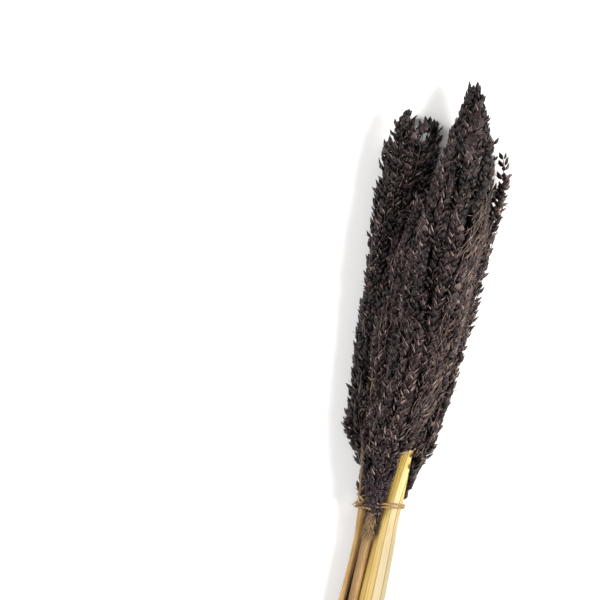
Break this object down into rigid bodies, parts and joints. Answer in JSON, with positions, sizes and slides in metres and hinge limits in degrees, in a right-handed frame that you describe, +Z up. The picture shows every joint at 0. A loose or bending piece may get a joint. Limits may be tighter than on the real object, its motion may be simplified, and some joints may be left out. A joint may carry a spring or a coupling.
{
  "type": "sorghum seed head bunch",
  "caption": "Dried black sorghum seed heads on cut straw stalks, bound at the neck with jute twine and lying flat: dense lobed panicles of small pointed spikelets.",
  "frame": {"origin": "the middle of the bunch's footprint, on the surface it lies on", "axes": "+Y along the bunch from the cut stalk ends to the tips, +Z up from the surface, +X to the right seen from above"},
  "size_m": [0.0754, 0.477, 0.0559],
  "materials": {
    "grain": "dry, matt, nearly black purple-brown seed husks",
    "stalk": "dried straw stalk, tan, faintly glossy",
    "sheath": "dried leaf sheath, pale straw yellow, ribbed",
    "twine": "hairy natural jute twine"
  },
  "bodies": {
    "root": {"back_stalk": "stalk", "front_stalk": "stalk", "left_stalk": "stalk", "right_stalk": "stalk", "leaf_sheath": "sheath", "twine": "twine", "twine_knot": "twine", "back_tip": "grain", "back_whorl1_branch1": "grain", "back_whorl1_branch2": "grain", "back_whorl1_branch3": "grain", "back_whorl2_branch1": "grain", "back_whorl2_branch2": "grain", "back_whorl2_branch3": "grain", "back_whorl2_branch4": "grain", "back_whorl3_branch1": "grain", "back_whorl3_branch2": "grain", "back_whorl3_branch3": "grain", "front_hanging_branch": "grain", "front_tip": "grain", "front_whorl1_branch1": "grain", "front_whorl1_branch2": "grain", "front_whorl1_branch3": "grain", "front_whorl1_branch4": "grain", "front_whorl2_branch1": "grain", "front_whorl2_branch2": "grain", "front_whorl2_branch3": "grain", "front_whorl2_branch4": "grain", "front_whorl3_branch1": "grain", "front_whorl3_branch2": "grain", "front_whorl3_branch3": "grain", "front_whorl3_branch4": "grain", "front_whorl4_branch1": "grain", "front_whorl4_branch2": "grain", "front_whorl4_branch3": "grain", "front_whorl4_branch4": "grain", "left_tip": "grain", "left_whorl1_branch1": "grain", "left_whorl1_branch2": "grain", "left_whorl1_branch3": "grain", "left_whorl2_branch1": "grain", "left_whorl2_branch2": "grain", "left_whorl2_branch3": "grain", "left_whorl2_branch4": "grain", "left_whorl3_branch1": "grain", "left_whorl3_branch2": "grain", "left_whorl3_branch3": "grain", "right_tip": "grain", "right_whorl1_branch1": "grain", "right_whorl1_branch2": "grain", "right_whorl1_branch3": "grain", "right_whorl1_branch4": "grain", "right_whorl2_branch1": "grain", "right_whorl2_branch2": "grain", "right_whorl2_branch3": "grain", "right_whorl2_branch4": "grain", "right_whorl3_branch1": "grain", "right_whorl3_branch2": "grain", "right_whorl3_branch3": "grain"}
  },
  "joints": []
}
